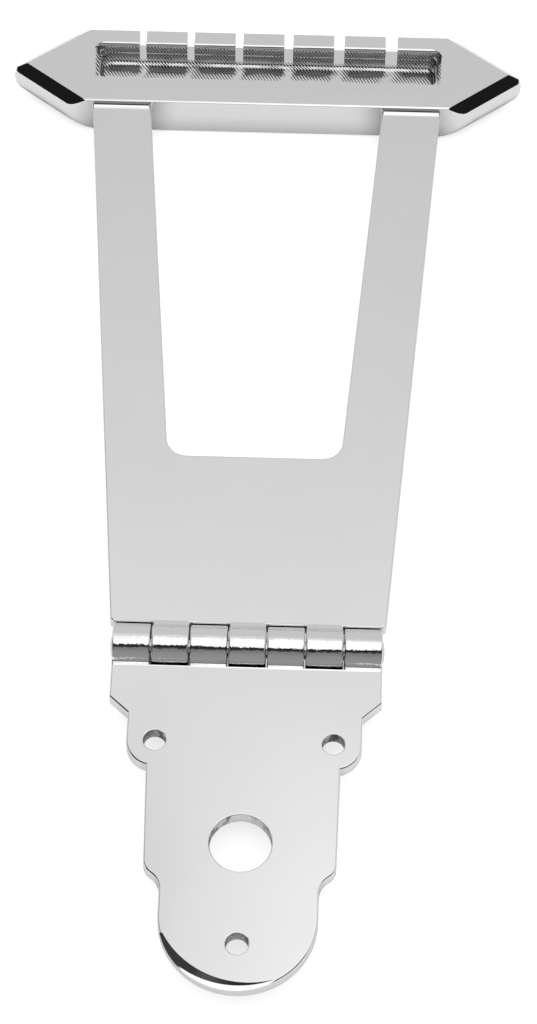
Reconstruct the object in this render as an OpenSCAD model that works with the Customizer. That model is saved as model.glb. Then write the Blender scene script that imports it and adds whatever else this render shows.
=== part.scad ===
// Trapeze tailpiece for a six string arched top guitar.
// Origin: centre of the end pin hole, on the back face of the end bracket.
// +X right, +Y from the end bracket towards the strings, +Z out of the polished front.

/* [Plates] */
// Thickness of both hinge leaves
plate_t = 2.8; // [2.4:0.1:3.6]
// Distance from the end pin hole to the hinge axis
hinge_y = 40; // [38:0.5:50]

/* [Hinge] */
// Length of the knuckle barrel, and width of the end bracket at the hinge
leaf_w = 49.2; // [46:0.2:56]
// Diameter of the knuckle barrel
barrel_d = 8.4; // [7.6:0.2:9]
// Diameter of the hinge pin
pin_d = 3.2; // [2.4:0.1:4]
// Radial clearance of the pin in the frame's knuckles
pin_clear = 0.06; // [0.03:0.01:0.1]
// Radial clearance of the pin in the bracket's knuckles
pin_seat = 0.02; // [0.01:0.01:0.1]
// Gap between neighbouring knuckles
knuckle_gap = 0.12; // [0.06:0.02:0.3]
// Gap between the barrel and the edge of the other leaf
barrel_clear = 0.3; // [0.2:0.05:0.6]
// Diameter of the riveted ends of the pin
rivet_d = 4.6; // [4.2:0.1:6]
// Height of the riveted ends of the pin
rivet_h = 0.4; // [0.2:0.05:0.8]

/* [End bracket] */
// Diameter of the end pin hole
end_pin_d = 11; // [8:0.5:13]
// Diameter of the three wood screw holes
screw_hole_d = 4; // [3:0.1:5]
// Spacing of the two upper screw holes
upper_screw_gap = 32; // [29:0.5:34]
// Distance from the hinge axis down to the upper screw holes
upper_screw_drop = 20; // [18:0.5:24]
// Distance from the end pin hole down to the lower screw hole
lower_screw_drop = 19.2; // [16:0.2:21]
// Width of metal around the upper screw holes
ear_land = 3.1; // [2:0.1:4]
// Distance from the hinge axis to the slanted shoulders
shoulder_drop = 11.3; // [9:0.1:12]
// Height of the slanted shoulders
shoulder_h = 3.2; // [2:0.1:4]
// Width of the waist below the ears
waist_top_w = 34.9; // [33:0.1:38]
// Width of the waist at its lower end
waist_low_w = 33.8; // [32:0.1:36]
// Distance from the end pin hole down to the waist's rounded corners
waist_drop = 3.6; // [2:0.2:6]
// Rounding of the waist's lower corners
waist_r = 3; // [2:0.2:4]
// Radius of the rounded tab at the end
tab_r = 13.9; // [12.6:0.1:14.6]
// Distance from the end pin hole down to the centre of the tab
tab_drop = 13.8; // [11:0.1:16]
// Radius of the hollow between waist and tab
tab_hollow_r = 4; // [3:0.2:5]

/* [Trapeze frame] */
// Distance from the hinge axis to the string bar
frame_len = 128.6; // [100:0.2:150]
// Width of the frame at the hinge
frame_low_w = 50.6; // [48:0.2:58]
// Width of the frame at the string bar
frame_top_w = 71.8; // [64:0.2:74]
// Width of each leg
leg_w = 12; // [11:0.2:15]
// Distance from the hinge axis to the lower edge of the window
window_y = 41.6; // [30:0.2:60]
// Rounding of the window's lower corners
window_r = 4; // [2:0.5:8]
// Chamfer of the frame's corners beside the hinge
frame_corner = 0.6; // [0.2:0.1:1.5]

/* [String bar] */
// Length of the bar over its tips
bar_len = 105.8; // [101:0.2:115]
// Length of the bar's straight sides
bar_flat = 82.2; // [79:0.2:84]
// Depth of the bar from near side to far side
bar_depth = 19.6; // [19:0.2:24]
// Height of the bar
bar_h = 9; // [8:0.1:11]
// Step from the legs up to the top of the bar
bar_step = 1; // [0.6:0.1:1.6]
// Rounding of the tips
tip_r = 1.6; // [1:0.1:4]
// Rounding of the four side corners
bar_corner_r = 4; // [1:0.5:6]
// Chamfer on top of the slanted ends
end_chamfer = 2.35; // [1:0.05:2.6]
// Distance from the top of the bar down to the widest part of the rounded ends
nose_drop = 4; // [3:0.1:4.4]
// How far the rounded ends draw in at the bar's underside
nose_under = 3.1; // [1:0.1:3.4]

/* [Ball end pocket] */
// Length of the pocket
pocket_len = 72.8; // [71:0.2:75]
// Thickness of the far wall, which carries the string slots
far_wall = 4; // [3:0.1:5]
// Depth of the flat land on the near side
near_land = 4.4; // [4:0.1:5]
// Width of the sloping lead in beside the near land
lead_in = 2.8; // [1:0.1:3.4]
// Drop of the sloping lead in
lead_in_drop = 1; // [0.4:0.1:1.2]
// Bevel at each end of the pocket
pocket_bevel = 1.2; // [0.4:0.1:1.6]
// Depth of the pocket
pocket_h = 5; // [4:0.1:5.6]
// Rounding of the pocket's corners
pocket_r = 2; // [1:0.1:3]

/* [String slots] */
// Width of each tooth between two slots
tooth_w = 8.6; // [8:0.1:9]
// Width of the narrowest slot
slot_min_w = 1.4; // [1:0.05:2]
// Width of the widest slot
slot_max_w = 2.5; // [2:0.05:3]
// How late across the bar the slots grow wider
slot_growth = 1.7; // [1:0.1:3]
// Depth of the slots
slot_h = 4.6; // [3:0.1:5]

/* [Leg joints] */
// Length of the tongue on each leg
tongue_len = 4.8; // [4.4:0.1:5]
// Thickness of each tongue
tongue_t = 1.8; // [1.4:0.1:2]
// Width of the shoulder on each side of a tongue
tongue_shoulder = 1; // [0.5:0.1:1.2]
// Clearance of a tongue in its socket
tongue_clear = 0.1; // [0.05:0.05:0.2]
// Thread diameter of the leg screws
leg_screw_d = 2.5; // [2:0.1:2.8]
// Head diameter of the leg screws
leg_screw_head_d = 4.4; // [4:0.1:4.8]
// Thickness of the rim of a leg screw's head
leg_screw_rim = 0.25; // [0.1:0.05:0.5]
// Distance between the two screws of a leg
leg_screw_gap = 5.6; // [5.4:0.1:6]
// Distance from the bar's near face to the leg screws
leg_screw_in = 2.7; // [2.6:0.1:2.9]
// Radial clearance around the leg screws in the bar
leg_screw_clear = 0.1; // [0.05:0.05:0.2]
// Radial clearance of the leg screws' threads in the tongues
thread_clear = 0.02; // [0.01:0.01:0.05]
// Length of the cross recess in a leg screw's head
recess_len = 2.4; // [1.8:0.1:2.8]
// Width of the cross recess
recess_w = 0.6; // [0.4:0.05:0.8]
// Depth of the cross recess
recess_h = 0.8; // [0.4:0.05:1]

/* [Hidden] */
chrome = [0.78, 0.78, 0.80];
steel = [0.62, 0.63, 0.66];
$fn = 96;

// How far a cut runs past the face that it opens
over = 1;
// How far two rounded shapes that would only touch cross each other
bite = 0.004;
strings = 6;
knuckles = 7;

// Hinge
axis_z = plate_t / 2;
edge_gap = barrel_d / 2 + barrel_clear;
pitch = leaf_w / knuckles;

// End bracket
ear_x = upper_screw_gap / 2;
ear_y = hinge_y - upper_screw_drop;
ear_r = screw_hole_d / 2 + ear_land;
shoulder_y = hinge_y - shoulder_drop;
waist_cx = waist_low_w / 2 - waist_r;
hollow_cx = tab_r + tab_hollow_r;
hollow_y = -waist_drop
    - sqrt(pow(waist_r + tab_hollow_r - bite, 2) - pow(hollow_cx - waist_cx, 2));

// Trapeze frame, with distances up from the hinge axis
leg_slope = (frame_top_w - frame_low_w) / 2 / (frame_len - edge_gap);
leg_stretch = sqrt(1 + pow(leg_slope, 2));
function frame_half(up) = frame_low_w / 2 + leg_slope * (up - edge_gap);
function window_half(up) = frame_half(up) - leg_w;
leg_x = frame_half(frame_len) - leg_w / 2;
tongue_w = leg_w - 2 * tongue_shoulder;

// String bar, with distances in from its near face
bar_y = hinge_y + frame_len;
bar_top = plate_t + bar_step;
bar_bottom = bar_top - bar_h;
bar_mid = bar_depth / 2;
tip_cx = bar_len / 2 - tip_r;
tip_reach = norm([tip_cx - bar_flat / 2, bar_mid]);
slant = atan2(bar_mid, tip_cx - bar_flat / 2) - asin(tip_r / tip_reach);
slant_len = sqrt(pow(tip_reach, 2) - pow(tip_r, 2));
corner_run = bar_corner_r * tan(slant / 2);
nose_r = (pow(nose_under, 2) + pow(bar_h - nose_drop, 2)) / (2 * nose_under);

// Ball end pocket and string slots
pocket_far = bar_depth - far_wall;
deep_near = near_land + lead_in;
deep_half = pocket_len / 2 - pocket_bevel;
function slot_w(i) = slot_min_w + (slot_max_w - slot_min_w) * pow(i / (strings - 1), slot_growth);
function slots_before(i) = i == 0 ? 0 : slots_before(i - 1) + slot_w(i - 1);
slots_span = slots_before(strings) + (strings - 1) * tooth_w;
function slot_x(i) = slots_before(i) + i * tooth_w - slots_span / 2;

// Leg screws
leg_screw_z = bar_bottom + tongue_clear;
leg_screw_len = tongue_t - tongue_clear - leg_screw_z;
leg_screw_cone = (leg_screw_head_d - leg_screw_d) / 2;

// Each leaf carries the whole barrel, and the room for the other leaf's knuckles is cut out
module barrel() {
    translate([-leaf_w / 2, hinge_y, axis_z])
        rotate([0, 90, 0]) cylinder(d = barrel_d, h = leaf_w);
}

module knuckle_gaps(first, near) {
    for (i = [first:2:knuckles - 1]) {
        x0 = -leaf_w / 2 + i * pitch - (i == 0 ? over : knuckle_gap / 2);
        x1 = -leaf_w / 2 + (i + 1) * pitch + (i == knuckles - 1 ? over : knuckle_gap / 2);
        translate([x0, hinge_y - near, axis_z - barrel_d])
            cube([x1 - x0, edge_gap + barrel_d, 2 * barrel_d]);
    }
}

module pin_bore(clear) {
    translate([-leaf_w / 2 - over, hinge_y, axis_z])
        rotate([0, 90, 0]) cylinder(d = pin_d + 2 * clear, h = leaf_w + 2 * over);
}

// Half of the hollow flank that joins the waist to the tab
module flank() {
    difference() {
        polygon([[0, -waist_drop], [waist_cx, -waist_drop], [hollow_cx, hollow_y], [0, hollow_y]]);
        translate([hollow_cx, hollow_y]) circle(r = tab_hollow_r);
    }
    translate([waist_cx, -waist_drop]) circle(r = waist_r);
}

module bracket_half() {
    polygon([[0, hinge_y], [leaf_w / 2, hinge_y], [leaf_w / 2, shoulder_y],
             [ear_x + ear_r, shoulder_y - shoulder_h],
             [ear_x + ear_r, ear_y], [waist_top_w / 2, ear_y],
             [waist_low_w / 2, -waist_drop], [0, -waist_drop]]);
    translate([ear_x, ear_y]) circle(r = ear_r);
    flank();
    translate([0, -tab_drop]) square([tab_r, tab_drop + hollow_y]);
}

module bracket_outline() {
    bracket_half();
    mirror([1, 0]) bracket_half();
    translate([0, -tab_drop]) circle(r = tab_r);
}

module through_hole(x, y, d) {
    translate([x, y, -over]) cylinder(d = d, h = plate_t + 2 * over);
}

module end_bracket() {
    color(chrome) difference() {
        union() {
            linear_extrude(plate_t) bracket_outline();
            barrel();
        }
        knuckle_gaps(1, edge_gap);
        pin_bore(pin_seat);
        through_hole(0, 0, end_pin_d);
        through_hole(0, -lower_screw_drop, screw_hole_d);
        for (side = [-1, 1]) through_hole(side * ear_x, ear_y, screw_hole_d);
    }
}

module frame_outline() {
    half_low = frame_half(edge_gap);
    half_corner = frame_half(edge_gap + frame_corner);
    half_top = frame_half(frame_len);
    polygon([[-half_low + frame_corner, edge_gap], [half_low - frame_corner, edge_gap],
             [half_corner, edge_gap + frame_corner], [half_top, frame_len],
             [-half_top, frame_len], [-half_corner, edge_gap + frame_corner]]);
    translate([pitch - leaf_w / 2, 0]) square([leaf_w - 2 * pitch, edge_gap + over]);
}

// The window's sides follow the legs, and its lower corners are arcs between both
module window_outline() {
    cy = window_y + window_r;
    cx = window_half(cy) - window_r * leg_stretch;
    tx = cx + window_r / leg_stretch;
    ty = cy - window_r * leg_slope / leg_stretch;
    far = frame_len + over;
    polygon([[-cx, window_y], [cx, window_y], [tx, ty], [window_half(far), far],
             [-window_half(far), far], [-tx, ty]]);
    for (side = [-1, 1]) translate([side * cx, cy]) circle(r = window_r + bite);
}

module leg_tongue(x) {
    translate([x - tongue_w / 2, bar_y - over, 0])
        cube([tongue_w, tongue_len + over, tongue_t]);
}

module trapeze_frame() {
    color(chrome) difference() {
        union() {
            translate([0, hinge_y]) linear_extrude(plate_t) difference() {
                frame_outline();
                window_outline();
            }
            barrel();
            for (side = [-1, 1]) leg_tongue(side * leg_x);
        }
        knuckle_gaps(0, barrel_d);
        pin_bore(pin_clear);
        for (side = [-1, 1], spot = [-1, 1])
            translate([side * leg_x + spot * leg_screw_gap / 2, bar_y + leg_screw_in, -over])
                cylinder(d = leg_screw_d + 2 * thread_clear, h = plate_t + 2 * over);
    }
}

// Hexagon with arcs at the tips and at the ends of the straight sides
module bar_outline() {
    flat_x = bar_flat / 2;
    slant_in = [flat_x + corner_run * cos(slant), corner_run * sin(slant)];
    slant_out = [flat_x + slant_len * cos(slant), slant_len * sin(slant)];
    near_right = [[flat_x - corner_run, 0], slant_in, slant_out];
    for (side = [0, 1], far = [0, 1])
        translate([0, bar_mid]) mirror([side, 0]) mirror([0, far]) translate([0, -bar_mid]) {
            polygon(concat([[0, bar_mid], [0, 0]], near_right, [[slant_out[0], bar_mid]]));
            translate([flat_x - corner_run, bar_corner_r]) circle(r = bar_corner_r);
        }
    for (side = [-1, 1]) translate([side * tip_cx, bar_mid]) circle(r = tip_r);
}

// What the four slanted ends lose: all outside a rounded nose, and a flat chamfer on top
module nose_profile() {
    difference() {
        translate([-over, -bar_h - over]) square([over + nose_r, bar_h + 2 * over]);
        translate([nose_r + bite, -nose_drop]) circle(r = nose_r);
    }
    polygon([[-over, -end_chamfer - over], [end_chamfer + over, over], [-over, over]]);
}

module slanted_ends() {
    for (side = [0, 1], far = [0, 1])
        translate([0, bar_mid, bar_top]) mirror([side, 0, 0]) mirror([0, far, 0])
            translate([bar_flat / 2, -bar_mid, 0]) rotate([0, 0, slant])
                translate([-bar_depth, 0, 0]) rotate([90, 0, 90])
                    linear_extrude(3 * bar_depth) nose_profile();
}

module rounded_slab(half, near, far, z, r) {
    translate([0, 0, z]) linear_extrude(bar_top + over - z) {
        translate([-half + r, near]) square([2 * (half - r), far - near]);
        translate([-half, near + r]) square([2 * half, far - near - 2 * r]);
        for (side = [-1, 1], y = [near + r, far - r])
            translate([side * (half - r), y]) circle(r = r);
    }
}

// Bevelled mouth of the pocket: a lead in on the near side and a bevel at each end
module pocket_mouth() {
    half = pocket_len / 2;
    floor_z = bar_top - pocket_bevel;
    intersection() {
        rounded_slab(half, near_land, pocket_far, floor_z, pocket_r);
        translate([-half, 0, 0]) rotate([90, 0, 90]) linear_extrude(2 * half)
            polygon([[near_land, bar_top + over], [near_land, bar_top],
                     [deep_near, bar_top - lead_in_drop], [deep_near, floor_z],
                     [pocket_far, floor_z], [pocket_far, bar_top + over]]);
        translate([0, bar_depth, 0]) rotate([90, 0, 0]) linear_extrude(bar_depth)
            polygon([[-half, bar_top + over], [-half, bar_top], [-deep_half, floor_z],
                     [deep_half, floor_z], [half, bar_top], [half, bar_top + over]]);
    }
}

module string_slots() {
    for (i = [0:strings - 1])
        translate([slot_x(i), pocket_far - over, bar_top - slot_h])
            cube([slot_w(i), far_wall + 2 * over, slot_h + over]);
}

module leg_socket(x) {
    translate([x - tongue_w / 2 - tongue_clear, -over, -tongue_clear])
        cube([tongue_w + 2 * tongue_clear, tongue_len + over + tongue_clear,
              tongue_t + 2 * tongue_clear]);
}

// A leg screw, or the hole for it when grown by a clearance, standing on the bar's underside
module screw_shape(grow, head_under) {
    r = leg_screw_d / 2 + grow;
    head_r = leg_screw_head_d / 2 + grow;
    translate([0, 0, -head_under]) cylinder(r = head_r, h = head_under + leg_screw_rim);
    translate([0, 0, leg_screw_rim]) cylinder(r1 = head_r, r2 = r, h = leg_screw_cone);
    cylinder(r = r, h = leg_screw_len);
}

module string_bar() {
    color(chrome) translate([0, bar_y, 0]) difference() {
        translate([0, 0, bar_bottom]) linear_extrude(bar_h) bar_outline();
        slanted_ends();
        rounded_slab(deep_half, deep_near, pocket_far, bar_top - pocket_h, pocket_r);
        pocket_mouth();
        string_slots();
        for (side = [-1, 1]) {
            leg_socket(side * leg_x);
            for (spot = [-1, 1])
                translate([side * leg_x + spot * leg_screw_gap / 2, leg_screw_in, leg_screw_z])
                    screw_shape(leg_screw_clear, over);
        }
    }
}

module rivet_end() {
    sphere_r = (pow(rivet_d / 2, 2) + pow(rivet_h, 2)) / (2 * rivet_h);
    intersection() {
        translate([0, 0, rivet_h - sphere_r]) sphere(r = sphere_r);
        cylinder(d = rivet_d, h = rivet_h);
    }
}

module hinge_pin() {
    color(steel) translate([0, hinge_y, axis_z]) {
        translate([-leaf_w / 2, 0, 0]) rotate([0, 90, 0]) cylinder(d = pin_d, h = leaf_w);
        for (side = [-1, 1])
            translate([side * leaf_w / 2, 0, 0]) rotate([0, side * 90, 0]) rivet_end();
    }
}

module leg_screw(x) {
    color(steel) translate([x, bar_y + leg_screw_in, leg_screw_z]) difference() {
        screw_shape(0, 0);
        for (turn = [0, 90]) rotate([0, 0, turn])
            translate([-recess_len / 2, -recess_w / 2, -over])
                cube([recess_len, recess_w, recess_h + over]);
    }
}

module left_outer_leg_screw() { leg_screw(-leg_x - leg_screw_gap / 2); }
module left_inner_leg_screw() { leg_screw(-leg_x + leg_screw_gap / 2); }
module right_inner_leg_screw() { leg_screw(leg_x - leg_screw_gap / 2); }
module right_outer_leg_screw() { leg_screw(leg_x + leg_screw_gap / 2); }

end_bracket();
trapeze_frame();
string_bar();
hinge_pin();
left_outer_leg_screw();
left_inner_leg_screw();
right_inner_leg_screw();
right_outer_leg_screw();
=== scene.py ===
import math

import bpy
from mathutils import Matrix, Vector


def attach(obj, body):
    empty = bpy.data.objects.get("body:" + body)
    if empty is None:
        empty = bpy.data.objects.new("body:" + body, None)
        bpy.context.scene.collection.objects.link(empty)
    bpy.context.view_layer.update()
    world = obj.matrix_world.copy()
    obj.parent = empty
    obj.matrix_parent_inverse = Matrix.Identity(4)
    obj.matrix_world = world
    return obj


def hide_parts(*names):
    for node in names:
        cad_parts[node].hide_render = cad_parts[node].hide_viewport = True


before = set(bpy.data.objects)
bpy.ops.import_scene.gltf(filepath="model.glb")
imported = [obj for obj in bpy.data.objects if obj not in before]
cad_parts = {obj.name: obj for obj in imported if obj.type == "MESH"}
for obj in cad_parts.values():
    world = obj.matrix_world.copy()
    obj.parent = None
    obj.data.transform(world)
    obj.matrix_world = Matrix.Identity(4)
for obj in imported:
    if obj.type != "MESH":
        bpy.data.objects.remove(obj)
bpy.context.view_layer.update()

scene = bpy.context.scene
mm = 0.001
weld = 0.0005 * mm  # vertices closer than this are merged


# shader helpers

# one socket of a node tree, where sums and products add Math nodes
class Wire:

    def __init__(self, net, socket):
        self.net = net
        self.socket = socket

    def calc(self, operation, left, right):
        return self.net.add("ShaderNodeMath", {"operation": operation}, {0: left, 1: right})

    def __add__(self, other):
        return self.calc("ADD", self, other)

    def __radd__(self, other):
        return self.calc("ADD", other, self)

    def __sub__(self, other):
        return self.calc("SUBTRACT", self, other)

    def __rsub__(self, other):
        return self.calc("SUBTRACT", other, self)

    def __mul__(self, other):
        return self.calc("MULTIPLY", self, other)

    def __rmul__(self, other):
        return self.calc("MULTIPLY", other, self)


# the nodes of one material or of the world
class Net:

    def __init__(self, owner):
        owner.use_nodes = True
        self.tree = owner.node_tree
        self.tree.nodes.clear()

    def add(self, kind, settings=None, sockets=None, output=0):
        node = self.tree.nodes.new(kind)
        for name, value in (settings or {}).items():
            if name == "stops":
                band = node.color_ramp
                while len(band.elements) < len(value):
                    band.elements.new(1.0)
                for element, (position, level) in zip(band.elements, value):
                    element.position = position
                    element.color = (level, level, level, 1)
            else:
                setattr(node, name, value)
        for name, value in (sockets or {}).items():
            if isinstance(value, Wire):
                self.tree.links.new(value.socket, node.inputs[name])
            else:
                node.inputs[name].default_value = value
        return Wire(self, node.outputs[output]) if node.outputs else None


# rises from 0 at start to 1 at end, also where start is the greater
def ramp(net, value, start, end):
    return net.add("ShaderNodeMapRange", {"interpolation_type": "SMOOTHSTEP"},
                   {"Value": value, "From Min": start, "From Max": end})


# modelling helpers

def pickNone():
    if bpy.context.object and bpy.context.object.mode != "OBJECT":
        bpy.ops.object.mode_set(mode="OBJECT")
    bpy.ops.object.select_all(action="DESELECT")


def pickOnly(piece):
    pickNone()
    piece.select_set(True)
    bpy.context.view_layer.objects.active = piece


def editMesh(piece):
    pickOnly(piece)
    bpy.ops.object.mode_set(mode="EDIT")
    bpy.ops.mesh.select_mode(type="VERT")
    bpy.ops.mesh.select_all(action="DESELECT")


# a point of a drawing plane, in metres
def place(plane, u, v, level=0.0):
    if plane == "XY":
        return Vector((u, v, level)) * mm
    if plane == "YZ":
        return Vector((level, u, v)) * mm
    return Vector((u, level, v)) * mm


# turning from the plane's first axis towards its second is positive
spinAxis = {"XY": (0, 0, -1), "YZ": (-1, 0, 0), "XZ": (0, 1, 0)}


# draws one line from a single vertex; a step is ("line", u, v) or ("arc", centre u, v, degrees)
def drawPath(name, plane, level, start, steps, arcStep=5.0):
    pickNone()
    bpy.ops.mesh.primitive_plane_add(size=mm, location=(0, 0, 0))
    piece = bpy.context.object
    piece.name = name
    editMesh(piece)
    bpy.ops.mesh.select_all(action="SELECT")
    bpy.ops.mesh.merge(type="CENTER")
    bpy.ops.transform.translate(value=place(plane, *start, level))
    u, v = start
    for step in steps:
        if step[0] == "line":
            move = place(plane, step[1] - u, step[2] - v)
            bpy.ops.mesh.extrude_vertices_move(TRANSFORM_OT_translate={"value": move})
            u, v = step[1], step[2]
        else:
            centreU, centreV, degrees = step[1:]
            bpy.ops.mesh.spin(steps=max(2, math.ceil(abs(degrees) / arcStep)),
                              angle=math.radians(degrees), axis=spinAxis[plane],
                              center=place(plane, centreU, centreV, level))
            turn = math.radians(degrees)
            du, dv = u - centreU, v - centreV
            u = centreU + du * math.cos(turn) - dv * math.sin(turn)
            v = centreV + du * math.sin(turn) + dv * math.cos(turn)
    bpy.ops.object.mode_set(mode="OBJECT")
    return piece


def applyModifier(piece, kind, **settings):
    pickOnly(piece)
    modifier = piece.modifiers.new("step", kind)
    for name, value in settings.items():
        setattr(modifier, name, value)
    bpy.ops.object.modifier_apply(modifier="step")


def mirrorAcross(piece, axis=0):
    applyModifier(piece, "MIRROR", use_axis=[axis == 0, axis == 1, axis == 2],
                  use_mirror_merge=True, merge_threshold=2 * weld)


# closes the drawn line with a face that looks in a direction
def fillFace(piece, direction):
    editMesh(piece)
    bpy.ops.mesh.select_all(action="SELECT")
    bpy.ops.mesh.remove_doubles(threshold=weld)
    bpy.ops.mesh.edge_face_add()
    bpy.ops.object.mode_set(mode="OBJECT")
    if piece.data.polygons[0].normal.dot(Vector(direction)) < 0:
        editMesh(piece)
        bpy.ops.mesh.select_all(action="SELECT")
        bpy.ops.mesh.flip_normals()
        bpy.ops.object.mode_set(mode="OBJECT")


def recalcNormals(piece):
    editMesh(piece)
    bpy.ops.mesh.select_all(action="SELECT")
    bpy.ops.mesh.normals_make_consistent(inside=False)
    bpy.ops.object.mode_set(mode="OBJECT")


def addBox(size, centre, turn=0.0):
    pickNone()
    bpy.ops.mesh.primitive_cube_add(size=1, location=(0, 0, 0))
    box = bpy.context.object
    box.data.transform(Matrix.Translation(Vector(centre) * mm)
                       @ Matrix.Rotation(math.radians(turn), 4, "Z")
                       @ Matrix.Diagonal((*(Vector(size) * mm), 1)))
    return box


# an edge profile as (tilt in degrees, length): 90 is upright, 0 is level
def quarterRound(radius, steps=6, fromTilt=90):
    turn = fromTilt / steps
    length = 2 * radius * math.sin(math.radians(turn / 2))
    return [(fromTilt - (i + 0.5) * turn, length) for i in range(steps)]


# insets the selected face step by step so that its edge follows the profile
def rollEdge(profile, hold=0.04):
    for tilt, length in profile:
        bpy.ops.mesh.inset(thickness=length * mm * math.cos(math.radians(tilt)),
                           depth=length * mm * math.sin(math.radians(tilt)))
    bpy.ops.mesh.inset(thickness=hold * mm, depth=0)


def rollHeight(profile):
    return sum(length * math.sin(math.radians(tilt)) for tilt, length in profile)


# pulls the face along a direction, and rolls the edges of both ends
def thicken(piece, direction, length, startRoll=(), endRoll=()):
    editMesh(piece)
    bpy.ops.mesh.select_mode(type="FACE")
    bpy.ops.mesh.select_all(action="SELECT")
    along = Vector(direction).normalized()
    start, end = rollHeight(startRoll), rollHeight(endRoll)
    bpy.ops.transform.translate(value=along * start * mm)
    bpy.ops.mesh.extrude_region_move(
        TRANSFORM_OT_translate={"value": along * (length - start - end) * mm})
    if endRoll:
        rollEdge(endRoll)
    if startRoll:
        bpy.ops.object.mode_set(mode="OBJECT")
        # the face at the start looks back along the direction
        for face in piece.data.polygons:
            face.select = face.normal.dot(along) < -0.999
        bpy.ops.object.mode_set(mode="EDIT")
        rollEdge(startRoll)
    bpy.ops.object.mode_set(mode="OBJECT")


# a profile spun all round an axis through centre: XZ about Z, YZ about Y
def turned(name, plane, centre, start, steps, copies=64, arcStep=9.0):
    piece = drawPath(name, plane, 0, start, steps, arcStep)
    editMesh(piece)
    bpy.ops.mesh.select_all(action="SELECT")
    axis = (0, 0, 1) if plane == "XZ" else (0, 1, 0)
    bpy.ops.mesh.spin(steps=copies, angle=2 * math.pi, center=(0, 0, 0), axis=axis)
    bpy.ops.mesh.select_all(action="SELECT")
    bpy.ops.mesh.remove_doubles(threshold=weld)
    bpy.ops.mesh.normals_make_consistent(inside=False)
    bpy.ops.transform.translate(value=Vector(centre) * mm)
    bpy.ops.object.mode_set(mode="OBJECT")
    return piece


def combine(piece, other, operation):
    applyModifier(piece, "BOOLEAN", operation=operation, solver="EXACT", object=other)
    bpy.data.objects.remove(other)


def joined(pieces):
    pickNone()
    for piece in pieces:
        piece.select_set(True)
    bpy.context.view_layer.objects.active = pieces[0]
    bpy.ops.object.join()
    return pieces[0]


def finishPiece(piece, body, nodes, material, angle=32):
    pickOnly(piece)
    bpy.ops.object.shade_smooth_by_angle(angle=math.radians(angle))
    applyModifier(piece, "WEIGHTED_NORMAL", keep_sharp=True, weight=50)
    piece.data.materials.clear()
    piece.data.materials.append(material)
    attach(piece, body)
    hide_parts(*nodes)
    print(piece.name, len(piece.data.polygons), "faces")


# finishes

def noise(net, where, scale, detail=2.0, stretch=(1, 1, 1)):
    if stretch != (1, 1, 1):
        where = net.add("ShaderNodeMapping", None, {"Vector": where, "Scale": stretch})
    return net.add("ShaderNodeTexNoise", None,
                   {"Vector": where, "Scale": scale, "Detail": detail})


def distance(net, x, y, centre):
    dx, dy = x - centre[0] * mm, y - centre[1] * mm
    return net.add("ShaderNodeMath", {"operation": "SQRT"}, {0: dx * dx + dy * dy})


# mirror plating: heights are in millimetres, tints multiply the tone
plating = {"tone": 0.84, "grain": 0.02, "wave": 0.03, "gloss": 0.02, "grainScale": 2400.0,
           "darkTint": (0.97, 0.972, 0.978), "paleTint": (1.02, 1.02, 1.022), "tintScale": 60.0,
           "waveScale": 38.0, "lineHeight": 0.0004, "lineScale": 1400.0,
           "paintedShadeColour": (0.16, 0.16, 0.165, 1), "grainBand": (0.3, 0.8)}


# extra gives the height and roughness of one piece's own marks, and its painted shade
def makeChrome(name, tone=plating["tone"], grain=plating["grain"], wave=plating["wave"],
               extra=None):
    p = plating
    material = bpy.data.materials.new(name)
    net = Net(material)
    where = net.add("ShaderNodeTexCoord", output=3)
    parts = net.add("ShaderNodeSeparateXYZ", None, {"Vector": where})
    x, y, z = (Wire(net, parts.socket.node.outputs[i]) for i in range(3))
    colour = net.add("ShaderNodeMix", {"data_type": "RGBA"},
                     {"Factor": noise(net, where, p["tintScale"], 3.0),
                      "A": (*(tone * share for share in p["darkTint"]), 1),
                      "B": (*(tone * share for share in p["paleTint"]), 1)}, output=2)
    height = wave * noise(net, where, p["waveScale"], 1.0)
    height = height + p["lineHeight"] * noise(net, where, p["lineScale"], 2.0, (1, 0.12, 1))
    roughness = p["gloss"] + grain * ramp(net, noise(net, where, p["grainScale"]),
                                          *p["grainBand"])
    if extra:
        moreHeight, moreRoughness, paintedShade = extra(net, where, x, y, z)
        height = height + moreHeight
        roughness = roughness + moreRoughness
        # painted shade: a dark colour is mixed over the tone wherever the piece's painted shade
        # mask is high
        colour = net.add("ShaderNodeMix", {"data_type": "RGBA"},
                         {"Factor": paintedShade, "A": colour, "B": p["paintedShadeColour"]}, output=2)
    bump = net.add("ShaderNodeBump", None, {"Strength": 1.0, "Distance": mm, "Height": height})
    shader = net.add("ShaderNodeBsdfPrincipled", None,
                     {"Base Color": colour, "Metallic": 1.0, "Roughness": roughness,
                      "Normal": bump})
    net.add("ShaderNodeOutputMaterial", None, {"Surface": shader})
    return material


# the rolled knuckles ripple a little under the plating
barrelFinish = {"axisY": 40.0, "inside": 4.3, "outside": 4.9, "ripple": 0.12,
                "rippleScale": 240.0, "speck": 0.035, "speckScale": 1300.0, "dull": 0.02}


def barrelWobble(net, where, y):
    f = barrelFinish
    away = net.add("ShaderNodeMath", {"operation": "ABSOLUTE"}, {0: y - f["axisY"] * mm})
    near = 1 - ramp(net, away, f["inside"] * mm, f["outside"] * mm)
    height = f["ripple"] * noise(net, where, f["rippleScale"], 1.0, (0.7, 1, 1))
    height = height + f["speck"] * noise(net, where, f["speckScale"], 2.0)
    return near * height, near * f["dull"]


def frameDetail(net, where, x, y, z):
    height, roughness = barrelWobble(net, where, y)
    return height, roughness, 0.0


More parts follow.
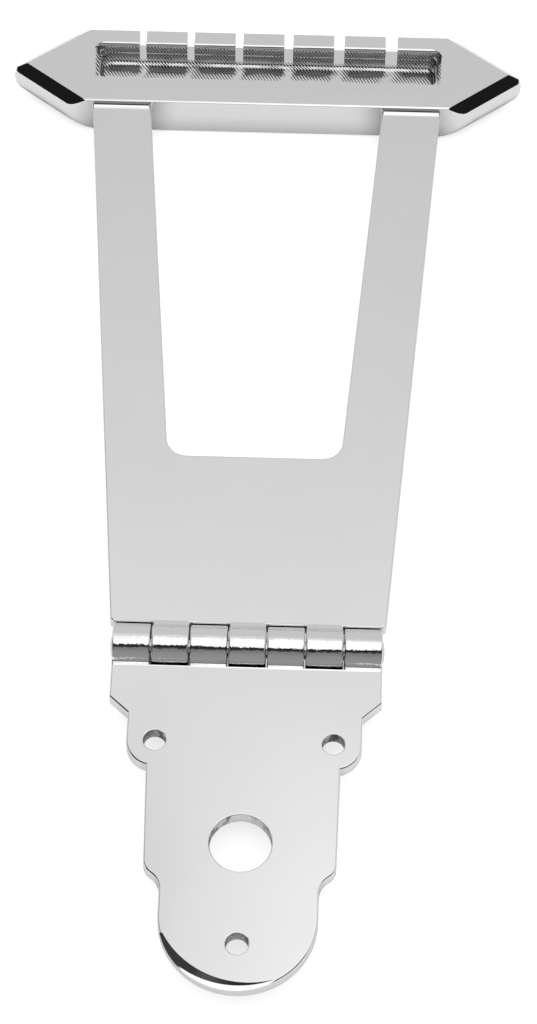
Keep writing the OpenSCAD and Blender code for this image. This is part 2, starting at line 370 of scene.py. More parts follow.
# drilled holes keep the drill's streaks under the plating, and get painted shade on their walls
bracketHoles = [(0, 0, 5.5), (0, -19.2, 2.0), (-16, 20, 2.0), (16, 20, 2.0)]
holeFinish = {"inside": 0.04, "outside": 0.12, "streak": 0.17, "streakScale": 1300.0,
              "dull": 0.12, "paintedShade": 0.85, "blotchScale": 420.0, "blotchStart": 0.5,
              "blotchEnd": 0.6}


def bracketDetail(net, where, x, y, z):
    f = holeFinish
    height, roughness = barrelWobble(net, where, y)
    paintedShade = 0.0
    blotches = noise(net, where, f["blotchScale"], 3.0, (1, 1, 0.4))
    streaks = f["streak"] * noise(net, where, f["streakScale"], 3.0, (1, 1, 0.35))
    for holeX, holeY, radius in bracketHoles:
        away = distance(net, x, y, (holeX, holeY))
        wall = 1 - ramp(net, away, (radius + f["inside"]) * mm, (radius + f["outside"]) * mm)
        height = height + wall * streaks
        roughness = roughness + wall * f["dull"]
        # painted shade: a mottled dark colour on the hole walls, where the bores lie in shade
        paintedShade = paintedShade + wall * (f["paintedShade"] * ramp(net, blotches, f["blotchStart"], f["blotchEnd"]))
    return height, roughness, paintedShade


# the pocket keeps slanting cutter marks, which are strongest on its far wall; the dark colour
# along the marks and over the far wall is painted shade for the pocket's dark reflections
# their mask has no lower end, so they also show on the bar's underside, where none belong
pocketFinish = {"low": 3.0, "high": 3.5, "nearY": 175.9, "farY": 184.3, "endX": 36.0,
                "wallStart": 181.5, "wallEnd": 183.0, "pitch": 0.66, "lean": 0.6,
                "patchScale": 260.0, "patchHeight": 0.014, "cutHeight": 0.006,
                "fineHeight": 0.003, "fineScale": 900.0, "leastCut": 0.35, "floorShare": 0.3,
                "dull": 0.06, "cutDull": 0.1, "cutShade": 0.9, "farWallShade": 0.12,
                "nearSoft": 0.1, "farSoft": 0.2, "endSoft": 0.4, "patchBand": (0.35, 0.7),
                "cutBand": (-0.3, 0.6)}


def barDetail(net, where, x, y, z):
    f = pocketFinish
    deep = 1 - ramp(net, z, f["low"] * mm, f["high"] * mm)
    inside = ramp(net, y, f["nearY"] * mm, (f["nearY"] + f["nearSoft"]) * mm) - ramp(
        net, y, f["farY"] * mm, (f["farY"] + f["farSoft"]) * mm)
    along = net.add("ShaderNodeMath", {"operation": "ABSOLUTE"}, {0: x})
    mask = deep * inside * (
        1 - ramp(net, along, f["endX"] * mm, (f["endX"] + f["endSoft"]) * mm))
    phase = (x + f["lean"] * (y + z)) * (2 * math.pi / (f["pitch"] * mm))
    hatch = net.add("ShaderNodeMath", {"operation": "SINE"}, {0: phase})
    patches = ramp(net, noise(net, where, f["patchScale"], 2.0, (1, 2, 2)),
                   *f["patchBand"])
    farWall = ramp(net, y, f["wallStart"] * mm, f["wallEnd"] * mm)
    cutsAndShade = ramp(net, hatch, *f["cutBand"]) * (f["leastCut"] + (1 - f["leastCut"]) * patches)
    cutsAndShade = cutsAndShade * (f["floorShare"] + (1 - f["floorShare"]) * farWall)
    marks = hatch * (f["cutHeight"] + f["patchHeight"] * patches)
    marks = marks + f["fineHeight"] * noise(net, where, f["fineScale"], 3.0)
    # painted shade: the dark colour follows the cutter marks and darkens the far wall
    return (mask * marks, mask * (f["dull"] + f["cutDull"] * cutsAndShade),
            mask * (f["cutShade"] * cutsAndShade + f["farWallShade"] * farWall))


bracketChrome = makeChrome("bracket_chrome", extra=bracketDetail)
frameChrome = makeChrome("frame_chrome", extra=frameDetail)
barChrome = makeChrome("bar_chrome", extra=barDetail)
pinSteel = makeChrome("pin_steel", tone=0.7, grain=0.08, wave=0.0)
screwSteel = makeChrome("screw_steel", tone=0.74, grain=0.06, wave=0.0)


# hinge

hinge = {"axisY": 40.0, "axisZ": 1.4, "barrel": 4.2, "width": 49.2, "count": 7, "gap": 0.22,
         "fillet": 0.55, "endRound": 0.34, "plate": 2.8, "edge": 4.5, "overlap": 0.7,
         "pin": 1.6, "rivet": 2.3, "rivetHeight": 0.4, "rivetRim": 0.06}


# one barrel piece with the web that ties it to its plate; side is -1 or 1 along Y
# the barrel has no bore: the pin runs hidden inside it
def knuckle(index, side):
    h = hinge
    pitch = h["width"] / h["count"]
    x0 = -h["width"] / 2 + index * pitch + (0 if index == 0 else h["gap"] / 2)
    x1 = -h["width"] / 2 + (index + 1) * pitch - (0 if index == h["count"] - 1 else h["gap"] / 2)
    half = h["plate"] / 2
    rise = half + h["fillet"]
    reach = h["barrel"] + h["fillet"]
    run = math.sqrt(reach ** 2 - rise ** 2)
    lean = math.degrees(math.asin(rise / reach))
    endY = h["axisY"] + side * (h["edge"] + h["overlap"])
    filletY = h["axisY"] + side * run
    s = side
    steps = [("line", filletY, h["axisZ"] + half),
             ("arc", filletY, h["axisZ"] + rise, -s * (90 - lean)),
             ("arc", h["axisY"], h["axisZ"], s * (360 - 2 * lean)),
             ("arc", filletY, h["axisZ"] - rise, -s * (90 - lean)),
             ("line", endY, h["axisZ"] - half), ("line", endY, h["axisZ"] + half)]
    piece = drawPath("knuckle", "YZ", x0, (endY, h["axisZ"] + half), steps, arcStep=4)
    fillFace(piece, (1, 0, 0))
    ends = quarterRound(h["endRound"], 5)
    thicken(piece, (1, 0, 0), x1 - x0, ends, ends)
    return piece


# end bracket

bracket = {"earX": 16.0, "earY": 20.0, "earR": 5.1, "shoulderY": 28.7, "shoulderLow": 25.5,
           "waistTop": 17.45, "waistLow": 16.9, "waistY": -3.6, "waistR": 3.0, "tabR": 13.9,
           "tabY": -13.8, "hollowR": 4.0, "backRound": 0.15, "holeLip": 0.22,
           "edge": [(88, 0.6), (60, 0.05), (50, 0.08), (40, 0.08), (30, 0.07), (20, 0.05),
                    (8, 0.05)],
           "rimLimit": -17.5, "darkRim": (246, 1.75, 4.4, 28), "paleRim": (230, 3.0, 5.2, 14),
           "smoothAngle": 12.5}


def holeCutter(x, y, radius, lip):
    top, over = hinge["plate"], 1
    return turned("cutter", "XZ", (x, y, 0), (0, -over),
                  [("line", radius + lip, -over), ("line", radius + lip, 0),
                   ("arc", radius + lip, lip, -90), ("line", radius, top - lip),
                   ("arc", radius + lip, top - lip, -90), ("line", radius + lip, top + over),
                   ("line", 0, top + over)], copies=72, arcStep=22.5)


# beside the barrel the plate's edge stands almost upright
def straightenHingeEdge(piece):
    edge = (hinge["axisY"] - hinge["edge"]) * mm
    reach, keep = 0.7 * mm, 0.3
    for vertex in piece.data.vertices:
        if vertex.co.y > edge - reach:
            vertex.co.y = edge - (edge - vertex.co.y) * keep


# a conical cut at the tab's rim: deepest at an azimuth, and shallower on both sides of it
def rimCone(azimuth, inset, offset, tilt):
    b = bracket
    turn = math.radians(azimuth)
    centre = (-offset * math.cos(turn), b["tabY"] - offset * math.sin(turn), hinge["plate"])
    inner = b["tabR"] + offset - inset
    slope = math.tan(math.radians(tilt))
    lead, reach, lift = 2, 8, 3  # how far the cutter runs inwards, outwards and up
    return turned("rim", "XZ", centre, (inner - lead, lead * slope), [
        ("line", inner + reach, -reach * slope), ("line", inner + reach, lift),
        ("line", inner - lead, lift), ("line", inner - lead, lead * slope)], copies=180)


# polishing has drawn the tab's rim down, in a dark crescent and a pale shelf
def rimCutter():
    b = bracket
    cutter = rimCone(*b["darkRim"])
    combine(cutter, rimCone(*b["paleRim"]), "INTERSECT")
    reach = 60
    box = addBox((reach, reach, reach), (0, b["rimLimit"] - reach / 2, 0))
    combine(cutter, box, "INTERSECT")
    return cutter


def makeBracket():
    b = bracket
    hollowX = b["tabR"] + b["hollowR"]
    waistX = b["waistLow"] - b["waistR"]
    drop = math.sqrt((b["waistR"] + b["hollowR"]) ** 2 - (hollowX - waistX) ** 2)
    hollowY = b["waistY"] - drop
    lean = math.degrees(math.atan2(drop, waistX - hollowX))
    slope = (b["waistTop"] - b["waistLow"]) / (b["earY"] - b["waistY"])
    # where the waist meets the ear
    earLow = b["earY"]
    for _ in range(30):
        x = b["waistLow"] + slope * (earLow - b["waistY"])
        earLow = b["earY"] - math.sqrt(b["earR"] ** 2 - (x - b["earX"]) ** 2)
    earAngle = math.degrees(math.atan2(b["earY"] - earLow, x - b["earX"]))
    half = hinge["width"] / 2
    steps = [("arc", 0, b["tabY"], 90), ("line", b["tabR"], hollowY),
             ("arc", hollowX, hollowY, lean - 180), ("arc", waistX, b["waistY"], 180 - lean),
             ("line", x, earLow), ("arc", b["earX"], b["earY"], earAngle),
             ("line", b["earX"] + b["earR"], b["shoulderLow"]), ("line", half, b["shoulderY"]),
             ("line", half, hinge["axisY"] - hinge["edge"]),
             ("line", 0, hinge["axisY"] - hinge["edge"])]
    piece = drawPath("end_bracket_plate", "XY", 0, (0, b["tabY"] - b["tabR"]), steps, arcStep=4)
    mirrorAcross(piece)
    fillFace(piece, (0, 0, 1))
    thicken(piece, (0, 0, 1), hinge["plate"], quarterRound(b["backRound"], 4), b["edge"])
    straightenHingeEdge(piece)
    for holeX, holeY, radius in bracketHoles:
        combine(piece, holeCutter(holeX, holeY, radius, b["holeLip"]), "DIFFERENCE")
    combine(piece, rimCutter(), "DIFFERENCE")
    for i in range(0, hinge["count"], 2):
        combine(piece, knuckle(i, -1), "UNION")
    finishPiece(piece, "bracket", ["end_bracket"], bracketChrome,
                b["smoothAngle"])


makeBracket()
print("end bracket made")


# trapeze frame

leg = {"length": 128.6, "lowHalf": 25.3, "topHalf": 35.9, "width": 12.0, "windowY": 41.6,
       "windowR": 4.0, "corner": 0.6, "topRound": 0.3, "backRound": 0.15,
       "filletLength": 1.35, "filletRise": 0.6, "tongueHalf": 5.0, "tongueLength": 4.8,
       "tongueThick": 1.8, "tongueScrewIn": 2.7, "tongueScrewGap": 5.6, "tongueHoleR": 1.27}


# the fillet that rises from a leg to the bar's near face
def legEnd(side):
    f = leg
    y1 = hinge["axisY"] + f["length"]
    y0, low, high = y1 - f["filletLength"], hinge["plate"], hinge["plate"] + f["filletRise"]
    radius = (f["filletLength"] ** 2 + f["filletRise"] ** 2) / (2 * f["filletRise"])
    sweep = math.degrees(math.asin(f["filletLength"] / radius))
    half = f["width"] / 2 - f["topRound"]
    centre = f["topHalf"] - f["width"] / 2
    sink = 0.3  # how far it reaches down into the leg
    piece = drawPath("leg_end", "YZ", side * centre - half, (y0, low - sink), [
        ("line", y0, low), ("arc", y0, low + radius, sweep), ("line", y1, low - sink),
        ("line", y0, low - sink)], arcStep=6)
    fillFace(piece, (1, 0, 0))
    thicken(piece, (1, 0, 0), 2 * half)
    return piece


def legTongue(side):
    f = leg
    y1 = hinge["axisY"] + f["length"]
    centre = side * (f["topHalf"] - f["width"] / 2)
    half, long, thick = f["tongueHalf"], f["tongueLength"], f["tongueThick"]
    edge, over = 0.2, 1  # chamfer of the tip, and how far the tongue starts inside the leg
    steps = [("line", y1 + long - edge, 0), ("line", y1 + long, edge),
             ("line", y1 + long, thick - edge), ("line", y1 + long - edge, thick),
             ("line", y1 - over, thick), ("line", y1 - over, 0)]
    piece = drawPath("leg_tongue", "YZ", centre - half, (y1 - over, 0), steps)
    fillFace(piece, (1, 0, 0))
    thicken(piece, (1, 0, 0), 2 * half)
    y = y1 + f["tongueScrewIn"]
    for spot in (-1, 1):
        x = centre + spot * f["tongueScrewGap"] / 2
        hole = turned("hole", "XZ", (x, y, 0), (0, -1), [
            ("line", f["tongueHoleR"], -1), ("line", f["tongueHoleR"], 3), ("line", 0, 3)])
        combine(piece, hole, "DIFFERENCE")
    return piece


def makeFrame():
    f = leg
    slope = (f["topHalf"] - f["lowHalf"]) / (f["length"] - hinge["edge"])
    stretch = math.sqrt(1 + slope ** 2)

    def outer(up):
        return f["lowHalf"] + slope * (up - hinge["edge"])

    y0 = hinge["axisY"]
    cornerY = f["windowY"] + f["windowR"]
    cornerX = outer(cornerY) - f["width"] - f["windowR"] * stretch
    tilt = math.degrees(math.atan(slope))
    steps = [("line", cornerX, y0 + f["windowY"]), ("arc", cornerX, y0 + cornerY, 90 - tilt),
             ("line", outer(f["length"]) - f["width"], y0 + f["length"]),
             ("line", outer(f["length"]), y0 + f["length"]),
             ("line", outer(hinge["edge"] + f["corner"]), y0 + hinge["edge"] + f["corner"]),
             ("line", outer(hinge["edge"]) - f["corner"], y0 + hinge["edge"]),
             ("line", 0, y0 + hinge["edge"])]
    piece = drawPath("trapeze_frame_plate", "XY", 0, (0, y0 + f["windowY"]), steps, arcStep=4)
    mirrorAcross(piece)
    fillFace(piece, (0, 0, 1))
    thicken(piece, (0, 0, 1), hinge["plate"], quarterRound(f["backRound"], 4),
            quarterRound(f["topRound"]))
    for i in range(1, hinge["count"], 2):
        combine(piece, knuckle(i, 1), "UNION")
    for side in (-1, 1):
        combine(piece, legEnd(side), "UNION")
        combine(piece, legTongue(side), "UNION")
    finishPiece(piece, "trapeze", ["trapeze_frame"], frameChrome)


makeFrame()
print("trapeze frame made")


# hinge pin

def makePin():
    h = hinge
    half = h["width"] / 2
    dome = (h["rivet"] ** 2 + h["rivetHeight"] ** 2) / (2 * h["rivetHeight"])
    sweep = math.degrees(math.asin(h["rivet"] / dome))
    # drawn along Y from its middle, mirrored, then turned to lie along X
    piece = turned("hinge_pin_rod", "YZ", (0, 0, 0), (0, h["pin"]),
                   [("line", half, h["pin"]), ("line", half, h["rivet"] - h["rivetRim"]),
                    ("line", half + h["rivetRim"], h["rivet"]),
                    ("arc", half + h["rivetHeight"] - dome, 0, -sweep)], copies=48, arcStep=3)
    mirrorAcross(piece, 1)
    editMesh(piece)
    bpy.ops.mesh.select_all(action="SELECT")
    bpy.ops.transform.rotate(value=math.pi / 2, orient_axis="Z", center_override=(0, 0, 0))
    bpy.ops.transform.translate(value=(0, h["axisY"] * mm, h["axisZ"] * mm))
    bpy.ops.mesh.normals_make_consistent(inside=False)
    bpy.ops.object.mode_set(mode="OBJECT")
    finishPiece(piece, "bracket", ["hinge_pin"], pinSteel)


makePin()
print("hinge pin made")


# string bar

bar = {"nearY": 168.6, "depth": 19.6, "top": 3.8, "height": 9.0, "length": 105.8, "flat": 82.2,
       "cornerR": 4.0, "tipR": 1.6, "leastTip": 0.3, "chamfer": 2.35,
       "noseDrop": 4.0, "noseUnder": 3.1, "underRound": 0.45,
       "rim": [(0.0, 0.42), (0.03, 0.30), (0.10, 0.06), (0.16, 0.01), (0.27, 0.0)],
       "wallRows": 16, "underRows": 5,  # the rim's rows are (down from the top, in from the wall)
       "pocketHalf": 36.4, "bevel": 1.2, "pocketR": 2.0, "pocketDepth": 5.0,
       "passDepth": 2.6, "passStep": 0.16, "floorRun": 1.5, "floorRise": 1.0,
       "farWall": 4.0, "nearLand": 4.4, "leadIn": 2.8, "leadDrop": 0.75, "rimRound": 0.8,
       "tooth": 8.6, "slotMin": 1.4, "slotMax": 2.5, "slotGrowth": 1.7, "slotDepth": 4.6,
       "slotRound": 0.18, "slots": 6, "passRound": 0.12, "cutOver": 1,
       "smoothAngle": 13.5}
bar["middle"] = bar["depth"] / 2
bar["tipX"] = bar["length"] / 2 - bar["tipR"]
bar["slant"] = math.atan2(bar["middle"], bar["tipX"] - bar["flat"] / 2) - math.asin(
    bar["tipR"] / math.hypot(bar["tipX"] - bar["flat"] / 2, bar["middle"]))
bar["pocketFar"] = bar["depth"] - bar["farWall"]
bar["deepNear"] = bar["nearLand"] + bar["leadIn"]
bar["deepHalf"] = bar["pocketHalf"] - bar["bevel"]

joint = {"clear": 0.1, "screwR": 1.25, "headR": 2.2, "headRim": 0.25, "recessLength": 2.4,
         "recessWidth": 0.6, "recessDepth": 0.8, "cutOver": 1}
joint["legX"] = leg["topHalf"] - leg["width"] / 2
joint["screwZ"] = bar["top"] - bar["height"] + joint["clear"]
joint["screwLength"] = leg["tongueThick"] - joint["clear"] - joint["screwZ"]


def legScrewSpots():
    return [side * joint["legX"] + spot * leg["tongueScrewGap"] / 2
            for side in (-1, 1) for spot in (-1, 1)]


# one outline of the bar, where the slanted ends draw in by noseIn and all walls by wallIn
def barRing(level, noseIn, wallIn):
    b = bar
    slant, near, far = b["slant"], b["nearY"], b["nearY"] + b["depth"]
    bend = math.degrees(slant)
    left = b["tipR"] - noseIn - wallIn
    tipR = max(left, b["leastTip"])
    tipX = b["tipX"] + (left - tipR) / math.sin(slant)
    turnR = b["cornerR"] - wallIn
    turnX = b["flat"] / 2 - b["cornerR"] * math.tan(slant / 2) - noseIn / math.sin(slant)
    middle = near + b["middle"]
    steps = [("line", turnX, near + wallIn), ("arc", turnX, near + b["cornerR"], bend),
             ("line", tipX + tipR * math.sin(slant), middle - tipR * math.cos(slant)),
             ("arc", tipX, middle, 180 - 2 * bend),
             ("line", turnX + turnR * math.sin(slant),
              far - b["cornerR"] + turnR * math.cos(slant)),
             ("arc", turnX, far - b["cornerR"], bend), ("line", 0, far - wallIn)]
    return drawPath("ring", "XY", level, (0, near + wallIn), steps, arcStep=4)


def barRows():
    b = bar
    noseR = (b["noseUnder"] ** 2 + (b["height"] - b["noseDrop"]) ** 2) / (2 * b["noseUnder"])
    r = b["underRound"]
    rows = list(b["rim"])
    rimEnd, count = rows[-1][0], b["wallRows"]
    rows += [(rimEnd + (b["height"] - r - rimEnd) * i / count, 0.0) for i in range(1, count + 1)]
    for i in range(1, b["underRows"] + 1):
        turn = math.pi / 2 * i / b["underRows"]
        rows.append((b["height"] - r + r * math.sin(turn), r - r * math.cos(turn)))
    return [(down, noseR - math.sqrt(noseR ** 2 - (b["noseDrop"] - down) ** 2), wall)
            for down, wall in rows]


def makeBarBody():
    b = bar
    rings = [barRing(b["top"] - down, nose, wall) for down, nose, wall in barRows()]
    piece = joined(rings)
    piece.name = "string_bar_body"
    mirrorAcross(piece)
    editMesh(piece)
    bpy.ops.mesh.select_all(action="SELECT")
    bpy.ops.mesh.bridge_edge_loops()
    bpy.ops.mesh.select_all(action="SELECT")
    bpy.ops.mesh.fill_holes(sides=0)
    bpy.ops.mesh.normals_make_consistent(inside=False)
    bpy.ops.object.mode_set(mode="OBJECT")
    return piece


# the flat chamfer on top of one slanted end
def endChamfer(sideX, sideY):
    b = bar
    c = b["chamfer"]
    lead, span, out = 12, 50, 3  # how far the wedge starts early, runs on and stands out
    wedge = drawPath("wedge", "YZ", -lead, (-out, out), [
        ("line", -out, -c - out), ("line", c + out, out), ("line", -out, out)])
    fillFace(wedge, (1, 0, 0))
    thicken(wedge, (1, 0, 0), span)
    middle = Matrix.Translation((0, (b["nearY"] + b["middle"]) * mm, b["top"] * mm))
    corner = Matrix.Translation((b["flat"] / 2 * mm, -b["middle"] * mm, 0))
    turn = Matrix.Rotation(b["slant"], 4, "Z")
    wedge.data.transform(middle @ Matrix.Diagonal((sideX, sideY, 1, 1)) @ corner @ turn)
    recalcNormals(wedge)
    return wedge


def roundedBox(name, half, near, far, radius, level):
    y0 = bar["nearY"]
    steps = [("line", half - radius, y0 + near), ("arc", half - radius, y0 + near + radius, 90),
             ("line", half, y0 + far - radius), ("arc", half - radius, y0 + far - radius, 90),
             ("line", 0, y0 + far)]
    box = drawPath(name, "XY", level, (0, y0 + near), steps, arcStep=7.5)
    mirrorAcross(box)
    return box


def pocketCutter(depth, inset, roll):
    b = bar
    box = roundedBox("pocket", b["deepHalf"] - inset, b["deepNear"] + inset,
                     b["pocketFar"] - inset, b["pocketR"], b["top"] + b["cutOver"])
    fillFace(box, (0, 0, -1))
    thicken(box, (0, 0, -1), depth + b["cutOver"], (), roll)
    return box


def mouthCutter():
    b = bar
    y0, top, half, r = b["nearY"], b["top"], b["pocketHalf"], b["rimRound"]
    over = b["cutOver"]
    high = top + 2 * over
    floor = top - b["bevel"]
    far = y0 + b["pocketFar"]
    box = roundedBox("mouth", half, b["nearLand"], b["pocketFar"] + r, b["pocketR"] + r, floor)
    fillFace(box, (0, 0, 1))
    thicken(box, (0, 0, 1), b["bevel"] + over)
    slope = drawPath("slope", "YZ", -half - over, (y0 + b["nearLand"], high), [
        ("line", y0 + b["nearLand"], top), ("line", y0 + b["deepNear"], top - b["leadDrop"]),
        ("line", y0 + b["deepNear"], floor - over), ("line", far, floor - over),
        ("line", far, top - r), ("arc", far + r, top - r, -90), ("line", far + r, high),
        ("line", y0 + b["nearLand"], high)], arcStep=10)
    fillFace(slope, (1, 0, 0))
    thicken(slope, (1, 0, 0), 2 * half + 2 * over)
    combine(box, slope, "INTERSECT")
    ends = drawPath("ends", "XZ", y0, (-half, high), [
        ("line", -half, top), ("line", -b["deepHalf"], floor),
        ("line", -b["deepHalf"], floor - over), ("line", b["deepHalf"], floor - over),
        ("line", b["deepHalf"], floor), ("line", half, top), ("line", half, high),
        ("line", -half, high)])
    fillFace(ends, (0, 1, 0))
    thicken(ends, (0, 1, 0), b["depth"])
    combine(box, ends, "INTERSECT")
    return box


def slotCutters():
    b = bar
    last = b["slots"] - 1
    widths = [b["slotMin"] + (b["slotMax"] - b["slotMin"]) * (i / last) ** b["slotGrowth"]
              for i in range(b["slots"])]
    left = -(sum(widths) + last * b["tooth"]) / 2
    top, r, over = b["top"], b["slotRound"], b["cutOver"]
    floor = top - b["slotDepth"]
    cutters = []
    for width in widths:
        right = left + width
        cutter = drawPath("slot", "XZ", b["nearY"] + b["pocketFar"] - over, (left, floor), [
            ("line", right, floor), ("line", right, top - r), ("arc", right + r, top - r, -90),
            ("line", right + r, top + over), ("line", left - r, top + over),
            ("line", left - r, top),
            ("arc", left - r, top - r, -90), ("line", left, floor)], arcStep=12)
        fillFace(cutter, (0, 1, 0))
        thicken(cutter, (0, 1, 0), b["farWall"] + 2 * over)
        cutters.append(cutter)
        left = right + b["tooth"]
    return joined(cutters)


def screwProfile(grow, under):
    j = joint
    r, headR = j["screwR"] + grow, j["headR"] + grow
    cone = j["headRim"] + j["headR"] - j["screwR"]
    return [("line", headR, -under), ("line", headR, j["headRim"]), ("line", r, cone),
            ("line", r, j["screwLength"]), ("line", 0, j["screwLength"])]


# everything that the leg joints cut out of the bar's near side and underside
def jointCutters():
    j = joint
    cutters = []
    for side in (-1, 1):
        over = j["cutOver"]
        length = leg["tongueLength"] + j["clear"] + over
        size = (2 * (leg["tongueHalf"] + j["clear"]), length,
                leg["tongueThick"] + 2 * j["clear"])
        centre = (side * j["legX"], bar["nearY"] - over + length / 2, leg["tongueThick"] / 2)
        cutters.append(addBox(size, centre))
    for x in legScrewSpots():
        spot = (x, bar["nearY"] + leg["tongueScrewIn"], j["screwZ"])
        cutters.append(turned("hole", "XZ", spot, (0, -j["cutOver"]),
                              screwProfile(j["clear"], j["cutOver"]), copies=48))
    return cutters


# the far wall runs into the pocket's floor in a wide elliptic fillet
def floorRoll(steps=20):
    run, rise = bar["floorRun"], bar["floorRise"]
    points = [(run * (1 - math.cos(math.pi / 2 * i / steps)),
               rise * math.sin(math.pi / 2 * i / steps)) for i in range(steps + 1)]
    return [(math.degrees(math.atan2(v - v0, u - u0)), math.hypot(u - u0, v - v0))
            for (u0, v0), (u, v) in zip(points, points[1:])]


def makeBar():
    b = bar
    piece = makeBarBody()
    for sideX in (-1, 1):
        for sideY in (-1, 1):
            combine(piece, endChamfer(sideX, sideY), "DIFFERENCE")
    combine(piece, pocketCutter(b["passDepth"], 0, quarterRound(b["passRound"], 3)), "DIFFERENCE")
    combine(piece, pocketCutter(b["pocketDepth"], b["passStep"], floorRoll()), "DIFFERENCE")
    combine(piece, mouthCutter(), "DIFFERENCE")
    combine(piece, slotCutters(), "DIFFERENCE")
    for cutter in jointCutters():
        combine(piece, cutter, "DIFFERENCE")
    finishPiece(piece, "trapeze", ["string_bar"], barChrome, b["smoothAngle"])


makeBar()
print("string bar made")


# leg screws

thread = {"pitch": 0.45, "depth": 0.2, "crest": 0.06, "root": 0.06, "flank": 0.14,
          "plainTop": 2.0, "endGap": 0.3, "endChamfer": 0.25, "headChamfer": 0.06}


def makeLegScrew(name, x):
    j, t = joint, thread
    spot = (x, bar["nearY"] + leg["tongueScrewIn"], j["screwZ"])
    rim, end, r = t["headChamfer"], j["screwLength"], j["screwR"]
    steps = [("line", j["headR"] - rim, 0), ("line", j["headR"], rim)]
    steps += screwProfile(0, 0)[1:3]
    turns = int((end - t["plainTop"]) / t["pitch"])
    start = end - t["endGap"] - turns * t["pitch"]
    down = t["crest"] + t["flank"]
    for i in range(turns):
        z = start + i * t["pitch"]
        steps += [("line", r, z), ("line", r, z + t["crest"]),
                  ("line", r - t["depth"], z + down),
                  ("line", r - t["depth"], z + down + t["root"]),
                  ("line", r, z + 2 * t["flank"] + t["crest"] + t["root"])]
    steps += [("line", r, end - t["endChamfer"]), ("line", r - t["endChamfer"], end),
              ("line", 0, end)]
    piece = turned(name + "_body", "XZ", spot, (0, 0), steps, copies=48)
    for angle in (0, 90):
        size = (j["recessLength"], j["recessWidth"], 2 * j["recessDepth"])
        combine(piece, addBox(size, spot, angle), "DIFFERENCE")
    finishPiece(piece, "trapeze", [name], screwSteel)


screwNames = ("left_outer_leg_screw", "left_inner_leg_screw",
              "right_inner_leg_screw", "right_outer_leg_screw")
for name, x in zip(screwNames, legScrewSpots()):
    makeLegScrew(name, x)
print("leg screws made")


# floor, light and camera

floorPaper = {"size": 6, "spot": (0, 0.08, -0.0054), "tone": 0.6, "cameraTone": 0.18,
              "glow": 0.62, "openGlow": 0.26, "reach": 0.012, "start": 0.1, "end": 0.42}


# the paper glows to the camera only, and glows less where the part is close: a painted shadow
# taken from ambient occlusion
def makeFloor():
    f = floorPaper
    pickNone()
    bpy.ops.mesh.primitive_plane_add(size=f["size"], location=f["spot"])
    floor = bpy.context.object
    floor.name = "floor"
    material = bpy.data.materials.new("floor_paper")
    net = Net(material)
    camera = net.add("ShaderNodeLightPath")
    shade = net.add("ShaderNodeMix", {"data_type": "RGBA"},
                    {"Factor": camera, "A": (*[f["tone"]] * 3, 1),
                     "B": (*[f["cameraTone"]] * 3, 1)}, output=2)
    paper = net.add("ShaderNodeBsdfDiffuse", None, {"Color": shade})
    reached = net.add("ShaderNodeAmbientOcclusion", {"samples": 8}, {"Distance": f["reach"]},
                      output=1)
    # painted shadow: the glow drops where ambient occlusion finds the part close
    bright = f["glow"] + f["openGlow"] * ramp(net, reached, f["start"], f["end"])
    glow = net.add("ShaderNodeEmission", None,
                   {"Color": (1, 1, 1, 1), "Strength": camera * bright})
    both = net.add("ShaderNodeAddShader", None, {0: paper, 1: glow})
    net.add("ShaderNodeOutputMaterial", None, {"Surface": both})
    floor.data.materials.append(material)


# brightness by height in four directions, as (sine of the height, brightness)
studio = {
    "backWall": [(0.0, 0.63), (0.745, 0.635), (0.82, 0.73), (0.90, 0.87), (0.917, 0.9),
                 (0.924, 1.2)],
    "cameraSide": [(0.0, 0.33), (0.5, 0.30), (0.77, 0.22), (0.84, 0.03), (0.932, 0.02),
                   (0.938, 1.2)],
    "frontLeft": [(0.0, 0.35), (0.22, 0.2), (0.34, 0.012), (0.5, 0.012), (0.66, 0.05),
                  (0.82, 0.045), (0.90, 0.35), (0.95, 1.2)],
    "frontRight": [(0.0, 0.35), (0.22, 0.2), (0.34, 0.012), (0.52, 0.012), (0.66, 0.4),
                   (0.85, 0.9), (0.95, 1.2)],
    "cornerBlend": (-0.1, 0.1), "sideBlend": (0.34, 0.52), "frontBlend": (0.22, -0.02),
    "fadeHeight": (0.862, 0.9), "fadeBase": 1.04, "fadeLeft": 0.16, "leftBlend": (-0.02, -0.06),
    "liftRight": 0.1, "rightBlend": (-0.03, 0.015), "turnHeight": (0.45, 0.6),
    "turnHigh": 0.45, "turnHighBlend": (-0.15, -0.6), "turnLow": 0.25,
    "turnLowBlend": (0.3, 0.6)}


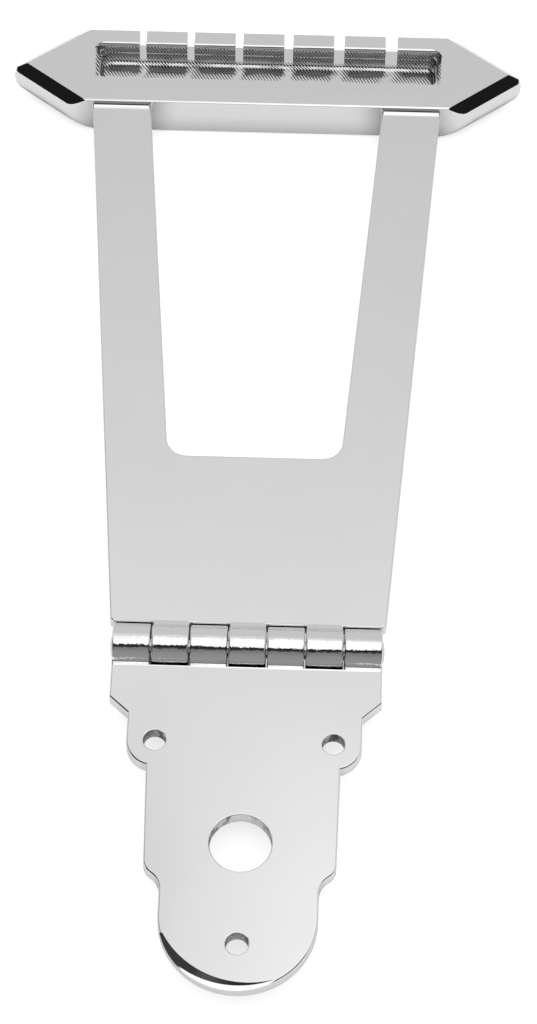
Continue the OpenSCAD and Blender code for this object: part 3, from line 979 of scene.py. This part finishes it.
def makeStudio():
    t = studio
    world = bpy.data.worlds.new("studio")
    scene.world = world
    net = Net(world)
    direction = net.add("ShaderNodeTexCoord")
    parts = net.add("ShaderNodeSeparateXYZ", None, {"Vector": direction})
    x, y, z = (Wire(net, parts.socket.node.outputs[i]) for i in range(3))
    sideways = net.add("ShaderNodeMath", {"operation": "ABSOLUTE"}, {0: x})
    backWall, cameraSide, frontLeft, frontRight = (
        net.add("ShaderNodeValToRGB", {"stops": t[name]}, {"Fac": z})
        for name in ("backWall", "cameraSide", "frontLeft", "frontRight"))
    corners = net.add("ShaderNodeMix", {"data_type": "RGBA"},
                      {"Factor": ramp(net, x, *t["cornerBlend"]), "A": frontLeft,
                       "B": frontRight}, output=2)
    frontHalf = net.add("ShaderNodeMix", {"data_type": "RGBA"},
                        {"Factor": ramp(net, sideways, *t["sideBlend"]), "A": cameraSide,
                         "B": corners}, output=2)
    # the plates' reflections darken to the left and brighten to the right
    upper = ramp(net, z, *t["fadeHeight"])
    fade = t["fadeBase"] - t["fadeLeft"] * upper * ramp(net, x, *t["leftBlend"])
    fade = fade + t["liftRight"] * upper * ramp(net, x, *t["rightBlend"])
    plateSide = net.add("ShaderNodeVectorMath", {"operation": "SCALE"},
                        {0: backWall, "Scale": fade})
    # high up the front half reaches further round at the left, and low down less far at the sides
    high = ramp(net, z, *t["turnHeight"])
    turnedY = y - t["turnHigh"] * high * ramp(net, x, *t["turnHighBlend"])
    turnedY = turnedY + t["turnLow"] * (1 - high) * ramp(net, sideways, *t["turnLowBlend"])
    room = net.add("ShaderNodeMix", {"data_type": "RGBA"},
                   {"Factor": ramp(net, turnedY, *t["frontBlend"]), "A": plateSide,
                    "B": frontHalf}, output=2)
    camera = net.add("ShaderNodeLightPath")
    seen = net.add("ShaderNodeMix", {"data_type": "RGBA"},
                   {"Factor": camera, "A": room, "B": (1, 1, 1, 1)}, output=2)
    sky = net.add("ShaderNodeBackground", None, {"Color": seen, "Strength": 1.0})
    net.add("ShaderNodeOutputWorld", None, {"Surface": sky})


# fitted to the photo's outlines; focal and picture are in pixels
view = {"focal": 2912.9, "picture": 1024, "sensor": 36, "near": 0.01,
        "spot": (0.00783, -0.22915, 0.46131), "right": (0.99962, 0.026687, 0.006973),
        "up": (-0.026172, 0.837821, 0.545318), "back": (0.008711, -0.545293, 0.838200)}


def makeCamera():
    v = view
    data = bpy.data.cameras.new("camera")
    data.sensor_fit = "VERTICAL"
    data.sensor_height = v["sensor"]
    data.lens = v["focal"] / v["picture"] * v["sensor"]
    data.clip_start = v["near"]
    camera = bpy.data.objects.new("camera", data)
    scene.collection.objects.link(camera)
    turn = Matrix([v["right"], v["up"], v["back"]]).transposed().to_4x4()
    camera.matrix_world = Matrix.Translation(v["spot"]) @ turn
    scene.camera = camera


softbox = {"size": 1.2, "energy": 14, "spot": (0.0, 0.05, 1.0)}


def makeLamp():
    data = bpy.data.lights.new("softbox", "AREA")
    data.shape = "RECTANGLE"
    data.size = softbox["size"]
    data.size_y = softbox["size"]
    data.energy = softbox["energy"]
    lamp = bpy.data.objects.new("softbox", data)
    lamp.location = softbox["spot"]
    lamp.visible_glossy = False
    scene.collection.objects.link(lamp)


makeFloor()
makeStudio()
makeLamp()
makeCamera()
scene.view_settings.view_transform = "Standard"
print("studio made")
